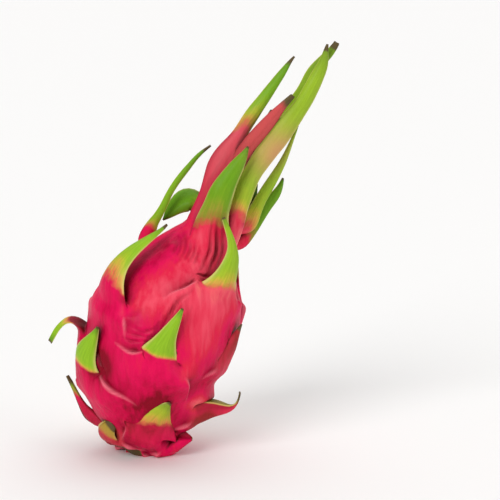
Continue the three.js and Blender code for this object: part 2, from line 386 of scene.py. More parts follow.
# %% The bracts
# what a bract has unless its entry says otherwise
USUAL = dict(soft=3, lag=0, dry=1.0, warm=0, tip=1.2, tall=1, thick=0.14, swell=0)
BRACTS = {
    "foot_front": dict(
        path=[(3, -23, 15, 28), (5, -28.5, 22.5, 23), (9.5, -32, 29, 13), (15, -33.5, 35)],
        green=14.5, soft=5, warm=0.25, ends=(-9, 2), folds=((35, 15), (70, 10))),
    "foot_front_low": dict(
        path=[(-8, -10, 4.5, 12), (-12, -14, 6, 9), (-16.5, -16, 7.5)],
        green=1, dry=16, warm=0.2, ends=(0, 0)),
    "foot_left": dict(
        path=[(-20.5, -12, 9, 20), (-22.5, -16.5, 12.5, 15), (-22, -19.5, 17, 11),
              (-17.5, -21, 21)],
        green=12, soft=3, dry=3, warm=0.8, tip=6, ends=(0, -2)),
    "foot_left_thin": dict(
        path=[(-25, 2, 11, 18), (-33, 0, 21, 8), (-38.5, 0, 30.5, 4), (-44, 0, 41.5)],
        green=28, dry=5, warm=0.2, looks=(-0.7, -0.7, 0.1)),
    "foot_right": dict(
        path=[(11, -13, 9.5, 14), (18, -14.5, 10.5, 9), (26, -14, 10.5)],
        green=40, dry=0.5, looks=(0.2, -1, 0.1), tall=2, thick=0.4, swell=0.2, ends=(0, 0)),
    "foot_back": dict(
        path=[(-12, 12, 6, 20), (-17, 19, 4, 12), (-20, 26, 3)],
        green=14),
    "foot_right_hook": dict(
        path=[(27, -8, 26, 18), (34, -11, 28, 15), (40, -12, 28.5, 9.5), (45, -12, 27, 4.5),
              (48.5, -12, 27, 2.8), (51, -11.5, 30.5, 2.2), (51, -11, 36.5)],
        green=8, soft=7, dry=8, warm=0.5, lag=4, looks=(0.1, -0.2, -0.97), tall=3, thick=0.75,
        swell=0.35, ends=(0, 0)),
    "foot_back_right": dict(
        path=[(14.5, 19, 16, 24), (20, 26, 22, 16), (24, 31, 30, 9), (26, 33, 38)],
        green=11, warm=0.4),
    "foot_back_left": dict(
        path=[(-11.5, 21, 14, 24), (-15, 29, 19, 15), (-17, 34, 26, 8), (-18, 37, 33)],
        green=12, warm=0.2),
    "low_back": dict(
        path=[(4, 31, 30, 26), (6, 39, 35.5, 16), (9, 45, 42.5, 9), (12, 48, 50)],
        green=10),
    "low_back_left": dict(
        path=[(-25.5, 22, 36, 26), (-31, 27, 43, 16), (-35, 31, 50, 9), (-37, 32, 58)],
        green=11),
    "middle_front": dict(
        path=[(7, -40, 57, 26), (10.5, -44, 65, 18), (16, -47, 76.5, 8.5), (22, -46, 89)],
        green=8.5, soft=1.4, ends=(-7.5, 3.5), folds=((-14, 20, 0.3), (50, 24))),
    "middle_left": dict(
        path=[(-32.5, -18, 47, 28), (-33.5, -22.5, 56, 20), (-30, -28, 66, 10.5),
              (-24, -31.5, 76)],
        green=10, soft=2, ends=(7, -8), looks=(-0.8, -0.6, 0.1), folds=((40, 14), (-5, 25, 1.7))),
    "middle_left_curl": dict(
        path=[(-33, 3, 67, 24), (-39, 1, 72.5, 12), (-44.5, -1, 74, 5.5), (-48, -3, 68.5, 5),
              (-52, -4, 61.5)],
        green=15, tip=4.5),
    "middle_right": dict(
        path=[(43, -17, 56, 18), (48, -18.5, 65, 8), (52.5, -16, 75)],
        green=40, dry=4, warm=0.6, looks=(0.6, -0.8, 0)),
    "middle_back_right": dict(
        path=[(32.5, 25, 46, 28), (38, 30, 54, 17), (41, 34, 64, 9), (42, 36, 73)],
        green=11, folds=((42, 20), (42, 12))),
    "middle_back": dict(
        path=[(-2, 40, 54, 28), (-2, 46, 62, 18), (1, 49, 72, 10), (6, 50, 81)],
        green=10, folds=((42, 12), (42, 20))),
    "shoulder_left": dict(
        path=[(-19, -25, 88.5, 30), (-18.5, -27, 97.5, 24), (-14.5, -28, 108, 15),
              (-6, -25, 116, 10), (3, -20, 122.5, 7), (12.5, -16, 129)],
        green=21, soft=7, dry=2, folds=(None, (68, 17))),
    "shoulder_right": dict(
        path=[(40, -27, 91, 28), (44.5, -30, 100, 19), (48, -30, 109, 10), (49, -28, 119, 6),
              (43.5, -26.5, 134.5)],
        green=11, soft=5, warm=0.1, ends=(-6, 2), folds=((0, 20, 4), (40, 12))),
    "shoulder_back_right": dict(
        path=[(43.5, 22.5, 84, 26), (46.5, 28, 93, 15), (47, 32, 103, 9), (45, 34, 113)],
        green=12),
    "shoulder_back": dict(
        path=[(15.5, 36, 92, 28), (17, 41.5, 101, 18), (21, 43, 112, 11), (27, 42, 123)],
        green=11),
    "shoulder_back_left": dict(
        path=[(-18, 22, 84, 26), (-20, 27, 91, 16), (-16, 31, 100, 9), (-9, 32, 108)],
        green=10),
    "neck_left_thin": dict(
        path=[(-2, 8, 110, 16), (2, 7, 121, 8.5), (6.5, 6, 129.5, 5), (11.5, 5, 141, 4),
              (21.5, 4, 156, 3.6), (35.5, 2, 168.5)],
        green=17, dry=5, warm=-0.3, looks=(-0.3, -1, 0)),
    "neck_right_dark": dict(
        path=[(48, 8, 110, 14), (55.5, 11, 119, 9), (63.5, 12, 130.5, 8), (70.5, 12, 139.5, 6.5),
              (74.5, 11, 150)],
        green=15, soft=4, warm=-0.7, looks=(0.5, -1, 0)),
    "neck_back": dict(
        path=[(29, 25, 110, 22), (32, 29, 120, 14), (37, 30, 134, 9), (44, 29, 148)],
        green=16),
    "crown_left_fold": dict(
        path=[(31, 10, 132, 13), (27, 13, 139.5, 20), (20, 14, 138.5, 18), (14, 13, 133, 9.5),
              (9.3, 12, 126.8)],
        green=6, warm=-0.8, looks=(0.2, -1, 0)),
    "crown_left_long": dict(
        path=[(27, -13, 124, 15), (34, -12, 141, 9), (43, -11, 162.5, 15), (48.5, -10, 171, 9.5),
              (56, -9, 183, 8.5), (66.5, -8, 197.5, 7), (81, -7, 216.5)],
        green=69, soft=7, dry=6, warm=-0.3, looks=(0, -1, 0)),
    "crown_front": dict(
        path=[(36, -18, 121, 22), (38, -22, 133, 16), (42, -23, 145, 13), (49, -22, 158.5, 9),
              (55.5, -20, 171.5)],
        green=18, soft=8, warm=-0.7, looks=(0, -1, 0)),
    "crown_middle_red": dict(
        path=[(43.5, -2, 127, 10), (47, -7, 148, 9), (54, -12, 166.5, 10),
              (62.5, -13.5, 177, 9.5), (71, -12.5, 186.5, 6.5), (80, -11, 196.5)],
        green=200, dry=8, warm=0.9, tip=3, looks=(0.1, -1, 0)),
    "crown_right_long": dict(
        path=[(48, -11, 125, 16), (50.5, -13, 138.5, 11), (57.5, -12.5, 153, 11),
              (65, -12, 165, 12.5), (71.8, -12, 174.5, 13), (82, -11.5, 187.5, 9),
              (90.5, -11, 201, 9), (95, -10, 211.5, 6), (98, -9, 223.5)],
        green=14, soft=5, dry=3.5, warm=0.15, looks=(0.1, -1, 0)),
    "crown_right_hook": dict(
        path=[(46, 2, 127, 10), (60, 2, 160, 8), (74, 0, 183, 7), (83.5, -2, 197.5, 6),
              (91.5, -3, 211, 6), (99, -4, 217.5, 5.5), (102.5, -5, 224)],
        green=12, dry=4, warm=0.1, tip=3.4, looks=(0, -1, 0)),
    "crown_right_light": dict(
        path=[(52, 2, 119, 15), (59.5, 3, 132, 9), (67, 3, 145.5, 7), (73, 3, 156, 5),
              (78, 3, 167, 3.6), (82, 2, 180)],
        green=13, soft=8, warm=0.1, looks=(0.3, -1, 0)),
    "crown_back_right": dict(
        path=[(49, 9, 124, 16), (56, 7, 134, 11), (61, 5, 147)],
        green=6, warm=-0.9, looks=(0.2, -1, 0)),
    "crown_back": dict(
        path=[(40, 15, 124, 18), (45, 17, 140, 13), (55, 16, 160, 10), (68, 12, 186)],
        green=30, warm=-0.5),
    "crown_back_left": dict(
        path=[(30, 15, 123, 18), (33, 19, 138, 13), (38, 19, 152, 9), (45, 17, 168)],
        green=24, dry=4),
}
for name, bract in BRACTS.items():
    *path, tip = bract["path"]
    bract = BRACTS[name] = {**USUAL, **bract}
    bract.update(root=Vector(path[0][:3]), width=path[0][3], path=[*path, (*tip, bract["tip"])])
print(len(BRACTS), "bracts, of", sum(len(bract["path"]) for bract in BRACTS.values()), "points")

# %% [markdown]
# ## Where each bract grows
# A bract grows out of a strip of faces: one row high, or more for a fleshy one, and as many
# columns wide as its root. It is the strip nearest to the first point of the path that shares
# no face with another bract.

# %% Where each bract grows
FOOT_ROWS, TOP_ROWS = 3, 2  # rows at the two ends where nothing grows
NARROWEST = 3  # columns that a root takes up at least


def cell_sides(row, column):
    """The way across one column of the body and up one row, around a place on it."""
    across = on_body(row, column + 0.5) - on_body(row, column - 0.5)
    return across, on_body(row + 0.5, column) - on_body(row - 0.5, column)


def tilted_frame(row, column):
    """The ways out, right and down the body at a place on it."""
    across, up = cell_sides(row, column)
    right, down = across.normalized(), -up.normalized()
    return down.cross(right).normalized(), right, down


strips = {}  # for each bract, its lowest row, how many rows it is high, and its columns
taken = set()
for name, bract in BRACTS.items():
    root, tall = bract["root"], bract["tall"]
    near = {
        (row, column): (on_body(row + tall / 2, column) - root).length
        for row in range(FOOT_ROWS, ROWS - TOP_ROWS - tall)
        for column in range(COLUMNS)
    }
    for row, column in sorted(near, key=near.get):
        cell_width = cell_sides(row + 0.5, column)[0].length
        wide = max(NARROWEST, round(bract["width"] / cell_width))
        columns = [(column - wide // 2 + i) % COLUMNS for i in range(wide)]
        wanted = {(row + i, c) for i in range(tall) for c in columns}
        if not taken & wanted:
            break
    taken |= wanted
    strips[name] = row, tall, columns
    off = near[row, column]
    print(f"{name}: row {row}, {wide} columns from {columns[0]}, off by {off:.0f} mm")

mesh = skin()
marks = mesh.faces.layers.int["bract"]
for number, (row, tall, columns) in enumerate(strips.values(), 1):
    for place in ((row + i, column) for i in range(tall) for column in columns):
        mesh.faces[cells[place]][marks] = number

# %% [markdown]
# ## Swelling the roots
# The rind swells into every bract, so the skin below a bract rises towards it and the skin above
# it starts lower down, in a pocket. Sculpting could pull it out, and so does proportional
# editing, which carries the skin around along with the moved points: the lower edge of a strip
# goes out, its upper edge goes in, and its two ends go down, as a bract's margins run down onto
# the body.

# %% Swelling the roots
SWELL, SINK = 0.15, 0.13  # how far the lower edge goes out and the upper one in, over the width
SWELL_REACH, SINK_REACH = 0.55, 0.32  # how far around they carry the skin along
DROOP, DROOP_REACH = 0.12, 0.25  # how far the ends go down, and what they carry along
CROWN_ROWS = 10  # rows at the top whose roots stand close together
CROWDED = 0.45  # how far the skin moves there, over how far it moves elsewhere


def pull(numbers, move, reach):
    """Moves points and carries the skin within reach along, less and less further away."""
    select_points(numbers)
    bpy.ops.transform.translate(
        value=move * MM,
        use_proportional_edit=True,
        proportional_edit_falloff="SMOOTH",
        proportional_size=reach * MM,
    )


for name, (row, tall, columns) in strips.items():
    bract = BRACTS[name]
    wide, swell = bract["width"], bract["swell"]
    ends = [*columns, (columns[-1] + 1) % COLUMNS]
    low = [ring_points[row][c] for c in ends]
    high = [ring_points[row + tall][c] for c in ends]
    out, right, down = tilted_frame(row + tall / 2, columns[0] + len(columns) / 2)
    crowded = CROWDED if row > ROWS - CROWN_ROWS else 1
    pull(low, out * (swell or SWELL) * wide * crowded, SWELL_REACH * wide * crowded)
    pull(high, out * (swell or -SINK) * wide * crowded, SINK_REACH * wide * crowded)
    usual = DROOP * wide * crowded
    for end, move in zip((0, -1), bract.get("ends", (usual, usual))):
        pull([low[end], high[end]], down * move, DROOP_REACH * wide)
print("swollen roots:", len(strips))

# %% [markdown]
# ## Growing the bracts
# A bract could be a curve with a bevel, or a bent plane, joined on later. Extruding it from the
# skin keeps skin and bract one surface, with no seam. The strip is extruded a little, turned,
# flattened across its path and pinched thin at its margins, and then extruded again and again
# along the path, turned and resized each time. The margins bend in towards the fruit, because a
# long leaf is stiff as a gutter and limp as a flat strip. Each ring also writes down how far
# along its bract it lies, for the colours.

# %% Growing the bracts
STEP, FEWEST_STEPS = 10.5, 2  # mm between two free rings at most, and the fewest such steps
FIRST_STEP, LAST_STEP = 4.0, 1.5  # from the root to the first free ring, and to the tip
THINNEST, THICKEST = 0.8, 3.0  # mm, and a fleshy bract may be thicker
MARGIN = 0.22  # thickness of a margin as a share of the middle's
CUP = 0.13  # how far the margins bend in towards the fruit, as a share of the width
FLATTEST = 2  # mm; a root less deep than this is pinched as if it were this deep
NO_TURN = 1e-4  # radians that aren't worth a turn


def facing(level, along):
    """The frame of a ring: its outer face, its side, and the way along, as columns."""
    level = (level - along * level.dot(along)).normalized()
    return Matrix((level.cross(along), level, along)).transposed()


def chosen():
    """The numbers and places of the selected points."""
    mesh = skin()
    return {v.index: v.co.copy() for v in mesh.verts if v.select}


def middle_of(places):
    return sum(places.values(), Vector()) / len(places)


def turn_ring(old, new, centre):
    """Turns the selected ring about its centre, from one frame to another."""
    axis, angle = (new @ old.transposed()).to_quaternion().to_axis_angle()
    if angle < NO_TURN:
        return
    other = axis.orthogonal().normalized()
    grid = Matrix((other, axis.cross(other), axis)).transposed()
    bpy.ops.transform.rotate(
        value=-angle, orient_axis="Z", orient_matrix=grid, center_override=centre
    )


def resize_ring(sizes, frame, centre):
    """Resizes what is selected across its face, across its side and along its path."""
    bpy.ops.transform.resize(
        value=sizes,
        orient_type="GLOBAL",
        orient_matrix=frame,
        orient_matrix_type="GLOBAL",
        center_override=centre,
    )


def write(values, numbers=None):
    """Writes values into the layers of the selected points, or of the points with numbers."""
    mesh = skin()
    points = [mesh.verts[i] for i in numbers] if numbers else [v for v in mesh.verts if v.select]
    for layer, value in values.items():
        key = mesh.verts.layers.float[layer]
        for point in points:
            point[key] = value


def thickness(width, share):
    """How thick a bract is where it has this width. The share is higher on a fleshy one."""
    return max(THINNEST, min(THICKEST * share / USUAL["thick"], share * width))


def grow(number, name):
    """Grows a bract from its strip, and returns how many rings it took."""
    bract = BRACTS[name]
    row, tall, columns = strips[name]
    dry, soft, thick = bract["dry"], bract["soft"], bract["thick"]
    line = smooth_line(bract["path"])
    length = line[0][-1]
    free = length - LAST_STEP - FIRST_STEP
    count = max(FEWEST_STEPS, math.ceil(free / STEP))
    stops = [FIRST_STEP + free * i / count for i in range(count + 1)] + [length]

    bpy.ops.mesh.select_all(action="DESELECT")
    bpy.ops.mesh.select_mode(type="FACE")
    mesh = skin()
    marks, grown = mesh.faces.layers.int["bract"], mesh.verts.layers.float["blade"]
    for face in mesh.faces:
        if face[marks] == number and all(point[grown] < 1 for point in face.verts):
            face.select_set(True)
    bpy.ops.mesh.select_mode(type="VERT")

    right = tilted_frame(row + tall / 2, columns[0] + len(columns) / 2)[1]
    frame = facing(right, Vector(on_line(line, 2)[:3] - on_line(line, 0)[:3]).normalized())
    centre = middle_of(chosen())
    write({
        "blade": 0.5,
        "warm": bract["warm"],
        "lag": bract["lag"],
        "turn": -bract["green"] / soft,
        "wither": length / dry,
    })
    for distance in stops:
        *place, width = on_line(line, distance)
        place = Vector(place) * MM
        ahead = on_line(line, min(distance + 1, length)) - on_line(line, distance - 1)
        along = Vector(ahead[:3]).normalized()
        old = frame
        if distance == FIRST_STEP:
            side = along.cross(Vector(bract["looks"])) if "looks" in bract else right
            frame = facing(side, along)
        else:
            frame = old.col[2].rotation_difference(along).to_matrix() @ old
        bpy.ops.mesh.extrude_region_move(TRANSFORM_OT_translate={"value": place - centre})
        centre = place
        turn_ring(old, frame, centre)
        if distance == FIRST_STEP:
            pinch(frame, centre, width, thickness(width, thick), *strips[name])
        else:
            thinner = thickness(width, thick) / thickness(last, thick)
            resize_ring((thinner, width / last, 1), frame, centre)
        last = width
        write({
            "along": distance,
            "turn": (distance - bract["green"]) / soft,
            "wither": (length - distance) / dry,
        })
    return len(stops)


def pinch(frame, centre, width, thick, row, tall, columns):
    """Makes the first free ring flat across its path, a bract's width and thickness, and lens
    shaped, with thin margins. It also writes how far across each point is, and its inner face."""
    face, side, _ = frame.col
    mesh = skin()
    seat = mesh.verts.layers.int["seat"]
    stacks = [[None] * (tall + 1) for _ in range(len(columns) + 1)]  # points above each other
    for point in mesh.verts:
        if point.select:
            ring, column = divmod(point[seat], COLUMNS)
            stacks[(column - columns[0]) % COLUMNS][ring - row] = point.index
    places = chosen()
    spread = side.dot(places[stacks[-1][0]] - places[stacks[0][0]])
    tallest = stacks[len(stacks) // 2]
    depth = face.dot(places[tallest[0]] - places[tallest[-1]])
    resize_ring((thick * MM / max(depth, FLATTEST * MM), width * MM / spread, 0), frame, centre)
    for i, stack in enumerate(stacks):
        across = 2 * i / (len(stacks) - 1) - 1
        lens = MARGIN + (1 - MARGIN) * math.sqrt(1 - across**2)
        select_points(stack)
        resize_ring((lens, 1, 1), frame, middle_of(chosen()))
        bpy.ops.transform.translate(value=face * -CUP * width * across**2 * MM)
        write({"across": across, "blade": 1})
        for step, number in enumerate(stack):
            write({"inner": step / tall}, [number])
    select_points([number for stack in stacks for number in stack])


rings_grown = [grow(number, name) for number, name in enumerate(strips, 1)]
bpy.ops.object.mode_set(mode="OBJECT")
print("bracts grown, rings on each:", rings_grown)
print("cage:", fineness())

# %% [markdown]
# ## Smoothing the cage
# So far the skin is a cage of flat faces. Subdivision Surface rounds it, as a living skin has no
# flat faces and no sharp edges, and it carries the layers for the colours along. After two levels
# a face is 1 to 2 mm wide, finer than any bulge that the rings describe.

# %% Smoothing the cage
SMOOTHNESS = 2  # levels of Subdivision Surface

deselect_everything()
fruit.select_set(True)
bpy.context.view_layer.objects.active = fruit
smoother = fruit.modifiers.new("smoother", "SUBSURF")
smoother.levels = smoother.render_levels = SMOOTHNESS
bpy.ops.object.modifier_apply(modifier=smoother.name)
bpy.ops.object.shade_smooth()
print("skin:", fineness())

# %% [markdown]
# ## Where the folds and creases run
# A bract's two margins run on down the body as folds: the skin on the bract's own side stands a
# little proud, and past the fold it drops into a shallow step. Where the leaning neck bends, and
# here and there beside a bract, the skin wrinkles into creases. Creased edges could make them all,
# but they cross the grid of faces at every angle. So each fold is a line laid on the body from the
# end of a root, and each crease is a line that is drawn as it shows from the front.

# %% Where the folds and creases run
FOLD_SLOPE = 42  # degrees that a fold runs down from the row of its root
FOLD_CURL = 1.2  # degrees that it turns further down with each millimetre
FOLD_LENGTH = 0.75  # length of a fold over the width of the root
FOLD_START = 0.4  # where it starts on its root's row
LOWEST_ROW = 3.5  # no fold runs below this row
BARE_ROWS = 8  # rows at the top whose roots leave no room for folds


def fold_line(row, column, sideways, slope, length, curl=FOLD_CURL):
    """A line over the body from a place on it, to the right or left and down, in steps of 1 mm,
    with the way out of the skin and the way along at each of its points."""
    slope = math.radians(slope)
    trail = []
    for _ in range(round(length)):
        out, right, down = tilted_frame(row, column)
        way = right * sideways * math.cos(slope) + down * math.sin(slope)
        trail.append((on_body(row, column), out, way))
        wide, tall = [side.length for side in cell_sides(row, column)]
        column += sideways * math.cos(slope) / wide
        row = max(LOWEST_ROW, row - math.sin(slope) / tall)
        slope += math.radians(curl)
    return [np.array([list(v) for v in part]) for part in zip(*trail)]


folds = []  # which way each one runs, and its line
for name, (row, tall, columns) in strips.items():
    usual = (FOLD_SLOPE, FOLD_LENGTH * BRACTS[name]["width"])
    if row > ROWS - BARE_ROWS:
        continue
    wanted = BRACTS[name].get("folds", (usual, usual))
    for sideways, start, shape in zip((-1, 1), (columns[0], columns[0] + len(columns)), wanted):
        if shape:
            folds.append((sideways, *fold_line(row + FOLD_START, start, sideways, *shape)))

CREASES = [  # places as seen from the front, x and z, and how deep the groove is
    ([(40, 127), (37, 120), (34.5, 113), (31, 103.5)], 0.8),
    ([(43, 127), (40.5, 120), (38, 112), (36, 104)], 1.1),
    ([(46, 125), (43, 118), (41.5, 112), (39, 105)], 0.9),
    ([(15.5, 121.5), (18, 119.5), (17, 116), (14, 113)], 1.0),
    ([(17.5, 123.5), (20.5, 120), (19.5, 115.5), (16, 111.5)], 1.0),
    ([(20, 124.5), (23, 120), (22, 114.5), (18, 110)], 1.0),
    ([(25, 121), (24.5, 115), (21, 109.5)], 0.9),
    ([(27.5, 120), (27, 114.5), (23.5, 108.5)], 0.8),
    ([(30, 117), (29, 112.5), (26.5, 108.5)], 0.7),
    ([(27, 101), (33, 102), (39, 101.5)], 0.8),
    ([(23, 96.5), (28.5, 98), (34, 98)], 0.5),
    ([(27, 95.5), (20, 92.5), (15.5, 86), (11, 77)], 0.9),
    ([(-25, 67), (-23.5, 58), (-21, 50)], 1.4),
    ([(-12, 72), (-6, 71), (1, 69.5)], 0.8),
    ([(-8, 74), (-1.5, 73.5), (5, 73)], 0.8),
    ([(-5, 77), (2, 76), (8, 77.5)], 0.6),
]
TRIED, TRIED_FROM = 4, 4  # places tried for each row and column, and the lowest row tried

front = [
    (row / TRIED, column / TRIED)
    for row in range(TRIED_FROM * TRIED, (ROWS - TOP_ROWS) * TRIED)
    for column in range(COLUMNS * TRIED // 2, COLUMNS * TRIED)
]
front_places = np.array([list(on_body(*place).xz) for place in front])


def seen_from_front(x, z):
    """The place on the front of the body that shows at x and z."""
    return on_body(*front[np.linalg.norm(front_places - (x, z), axis=1).argmin()])


creases = []
for drawn, _ in CREASES:
    line = smooth_line([seen_from_front(*place) for place in drawn])
    creases.append(np.array([on_line(line, d) for d in np.arange(0, line[0][-1], 1.0)]))
print("folds:", len(folds), "creases:", len(creases))

# %% [markdown]
# ## Finer skin along the folds
# A fold is only half a millimetre sharp, finer than the faces of the body. Another level of
# subdivision would make four times as many faces all over, so only the faces near a fold or a
# crease are subdivided once more.

# %% Finer skin along the folds
FINE_REACH = 3.2  # mm from a fold's line to the last finer face


def plain_places():
    """Where each point was before the roots were swollen, and how much it belongs to the body."""
    layers = fruit.data.attributes
    blade = read(layers["blade"].data, "value")
    return read(layers["plain"].data, "vector", 3) / MM, np.clip(1 - 2 * blade, 0, 1)


plain, body = plain_places()
trails = [place for trail in [fold[1] for fold in folds] + creases for place in trail]
lines = kdtree.KDTree(len(trails))
for number, place in enumerate(trails):
    lines.insert(Vector(place), number)
lines.balance()
close = [body[i] > 0 and lines.find(Vector(plain[i]))[2] < FINE_REACH for i in range(len(plain))]
for face in fruit.data.polygons:
    face.select = all(close[number] for number in face.vertices)
bpy.ops.object.mode_set(mode="EDIT")
bpy.ops.mesh.select_mode(type="FACE")
bpy.ops.mesh.subdivide(number_cuts=1, ngon=False)
bpy.ops.object.mode_set(mode="OBJECT")
mesh = fruit.data
plain, body = plain_places()
places = read(mesh.vertices, "co", 3) / MM
print("finer skin:", fineness())

# %% [markdown]
# ## Raising the folds
# Each point near a fold is moved in or out by how far it lies from the line, and on which side.

# %% Raising the folds
FOLD_LIFT, FOLD_DROP = 1.7, 1.7  # how far the proud side stands out and the other side sinks, mm
FOLD_EDGE = 0.5  # how sharp the step between them is
PROUD_WIDTH, SUNK_WIDTH = 7, 4  # mm over which the two sides level out
FOLD_REACH = 18  # how far from its line a fold is felt
FOLD_TAIL, FOLD_EASE = 0.7, 0.8  # share of a fold over which it fades out, and how evenly it does
CREST_PLACE, CREST_WIDTH = 0.3, 0.5  # where the pale crest lies on the proud side
LINE_END, LINE_FADE = 0.7, 1.6  # mm that a line is felt past its end, and over which it fades


def bell(distance, width):
    """1 where the distance is 0, and near 0 where it is over twice the width."""
    return np.exp(-((distance / width) ** 2))


def near_line(trail, outs, ways, reach, skin_share):
    """The points near a line: their numbers, how far to its left they are, how far along it as a
    share, and how much of it they feel."""
    middle = trail.mean(0)
    spread = np.linalg.norm(trail - middle, axis=1).max() + reach
    near = np.where((np.linalg.norm(plain - middle, axis=1) < spread) & (skin_share > 0))[0]
    gaps = plain[near, None] - trail[None]
    nearest = np.linalg.norm(gaps, axis=2).argmin(1)
    gap = gaps[np.arange(len(near)), nearest]
    left = (gap * np.cross(outs, ways)[nearest]).sum(1)
    past = np.clip(np.abs((gap * ways[nearest]).sum(1)) - LINE_END, 0, None)
    share = nearest / (len(trail) - 1)
    return near, left, share, skin_share[near] * bell(past, LINE_FADE)


crest_tone_and_highlight, valley_shade, moved = np.zeros((3, len(plain)))
for sideways, *line in folds:
    near, left, share, feels = near_line(*line, FOLD_REACH, body)
    distance = left * -sideways
    fade = feels * np.clip((1 - share) / FOLD_TAIL, 0, 1) ** FOLD_EASE
    high = 0.5 * (1 + np.tanh(distance / FOLD_EDGE))
    rise = high * np.exp(-np.clip(distance, 0, None) / PROUD_WIDTH)
    drop = (1 - high) * np.exp(np.clip(distance, None, 0) / SUNK_WIDTH)
    moved[near] += (FOLD_LIFT * rise - FOLD_DROP * drop) * fade
    # a pale line just on the proud side of the fold: partly the margin's paler skin running on,
    # partly a painted highlight on the crest
    crest_tone_and_highlight[near] = np.maximum(crest_tone_and_highlight[near], fade * bell(distance - CREST_PLACE, CREST_WIDTH))
    # painted shade on the sunk side of the fold's step
    valley_shade[near] = np.maximum(valley_shade[near], fade * drop)
print("furthest moves, mm:", moved.min().round(2), moved.max().round(2))

# %% [markdown]
# ## Creases and unevenness
# A crease is a thin groove with a slight ridge on each side. The rest of the rind isn't smooth
# either: it is a little uneven, like any thick leaf, and a long blade waves more freely the
# further it is from its root. What would reach below the floor is pressed flat on it, as the
# fruit's own weight does.

# %% Creases and unevenness
GROOVE, GROOVE_REACH = 0.8, 6  # how wide a crease's groove is, and how far off it is felt, mm
RIDGE = 0.4  # height of the ridges beside it over its depth
RIDGE_PLACE, RIDGE_WIDTH = 1.8, 0.9  # mm
GROOVE_END = 0.05  # share of a crease that is as deep as its very end
GROOVE_DARK, DARK_WIDTH = 0.55, 1.0  # how dark a groove 1 mm deep is, and mm across the dark
CREASED = 16  # mm up a bract's blade that a crease runs at most
UNEVEN = ((16, 0.5), (5, 0.22))  # size of the bumps and how high they are, mm
BLADE_UNEVEN = 0.3  # how uneven a blade is, over how uneven the body is
WAVE_SIZE, WAVE = 17, 1.3  # length of the waves along a bract's blade, and their height, mm
WAVY_FROM = 18  # mm from its root to where a blade waves fully
noise.seed_set(2)  # so that the waves are the same each time

up_blade = read(mesh.attributes["along"].data, "value")
foot_of_blade = np.clip(1 - up_blade / CREASED, 0, 1)
for (_, deep), trail in zip(CREASES, creases):
    outs = np.array([(0, -1, 0)] * len(trail))
    ways = np.gradient(trail, axis=0)
    near, left, share, feels = near_line(trail, outs, ways, GROOVE_REACH, foot_of_blade)
    fade = feels * np.sin(np.pi * np.clip(share, GROOVE_END, 1 - GROOVE_END))
    ridges = RIDGE * bell(np.abs(left) - RIDGE_PLACE, RIDGE_WIDTH)
    moved[near] -= deep * (bell(left, GROOVE) - ridges) * fade
    # painted shade in the groove, darker the deeper the groove is
    dark = min(1, GROOVE_DARK * deep) * fade * bell(left, DARK_WIDTH)
    valley_shade[near] = np.maximum(valley_shade[near], dark)

uneven = np.array([
    sum(high * noise.noise(Vector(place) / size) for size, high in UNEVEN) for place in places
])
moved += uneven * (BLADE_UNEVEN + (1 - BLADE_UNEVEN) * body)
places += read(mesh.vertex_normals, "vector", 3) * moved[:, None]
free = np.clip(up_blade / WAVY_FROM, 0, 1) * (1 - body)
waves = np.array([noise.noise_vector(Vector(place) / WAVE_SIZE) for place in places])
places += waves * (WAVE * free)[:, None]
places[:, 2] = np.maximum(places[:, 2], 0)
mesh.vertices.foreach_set("co", (places * MM).ravel())
put("crest_tone_and_highlight", crest_tone_and_highlight)
put("valley_shade", valley_shade)
mesh.update()
print("creases:", len(CREASES), "unevenness, mm:", uneven.min().round(2), uneven.max().round(2))

# %% [markdown]
# ## Painted shade on covered skin, and paler and deeper spots
# Skin that is covered by a bract or lies in a fold gets painted shade, a deeper crimson. How
# covered each point is gets measured with a few straight lines that leave it: the sooner they meet
# the fruit again, the more it is covered. An Ambient Occlusion node would look the same, but it
# isn't kept when the fruit is used elsewhere. The red also varies in broad spots: some are the
# skin's own paler or deeper red, some are painted highlights where the lights shine on the wax,
# over skin that is partly paler there, and some are painted shade: low down, on the right side, in
# the pockets and under the hooked bract. One long bract blushes in the middle.

# %% Painted shade on covered skin, and paler and deeper spots
COVER_REACH = 13  # mm within which something in front of a point covers it
COVER_TILT = math.radians(48)  # how far the lines lean away from straight out
COVER_LINES = 6  # leaning lines from each point, besides the one straight out
COVER_START = 0.4  # mm above the skin where a line starts, so that it misses its own face
ANY_WAY = (0.1, 0.2, 1)  # what sideways is square to: any way that no point of the skin faces
SPOTS = {  # the middle of a spot of paler or deeper red, its radius in mm, and how much paler
    # the next three are painted highlights where the key and side lights shine on the wax, over
    # skin that is partly paler there
    "below the right shoulder": ((42, -30, 90), 22, 0.3),
    "below the left shoulder": ((4, -38, 96), 18, 0.25),
    "neck": ((30, -20, 117), 12, 0.1),
    "neck's left side": ((13, -17, 117), 9, -0.4),
    # the next two are painted shade: below the right bulge, and on the right side, away from the
    # key light
    "low on the right": ((33, -28, 50), 18, -0.3),
    "right side": ((51, -14, 68), 15, -0.7),
    "crown": ((60, -8, 165), 40, -0.15),
    # painted shade in the pocket by the front foot bract
    "above the foot": ((6, -32, 28), 13, -0.4),
    "low on the left": ((-26, -24, 35), 14, 0.2),
    # the next two are painted shade: in the pocket beside the left bract, and under the hooked
    # bract
    "pocket on the left": ((-24, -31.5, 56), 7.5, -0.9),
    "under the hooked bract": ((32, -17, 19), 9, -0.9),
    "above the hooked bract": ((29, -21, 31), 6, 0.9),
    # painted highlight where the side light shines on the wax, over skin that is partly paler
    # there
    "right of the middle": ((38, -34, 65), 13, 0.3),
    "right of the front fold": ((27, -37, 51), 8, 0.5),
    "left of the front fold": ((9, -37, 38), 9, -0.3),
    # painted shade in the pocket beside the left shoulder's bract
    "left shoulder's pocket": ((2, -28, 112), 13, -0.3),
    "right side of the crown's foot": ((54, -6, 119), 10, 0.4),
}
BLUSH = (72, -12, 165), 13  # the spot on a long green bract that blushes, and its radius

